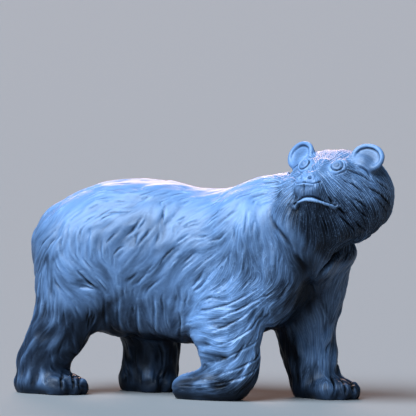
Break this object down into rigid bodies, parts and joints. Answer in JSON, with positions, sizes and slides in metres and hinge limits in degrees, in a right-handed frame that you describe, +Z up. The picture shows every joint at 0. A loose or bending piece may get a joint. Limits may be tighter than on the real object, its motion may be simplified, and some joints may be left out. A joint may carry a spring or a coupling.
{
  "type": "carved bear figurine",
  "caption": "Carved black stone bear in one piece, walking on flat soles with its head turned back and raised; a shelf or table ornament.",
  "frame": {"origin": "middle of the figure's bounding box, at the height of its soles", "axes": "+X forward along the body, +Y to the bear's left, +Z up; the head is turned toward -Y"},
  "size_m": [0.19, 0.0684, 0.1272],
  "materials": {
    "stone": "satin, carved and lightly waxed"
  },
  "bodies": {
    "root": {"polar_bear": "stone"}
  },
  "joints": []
}
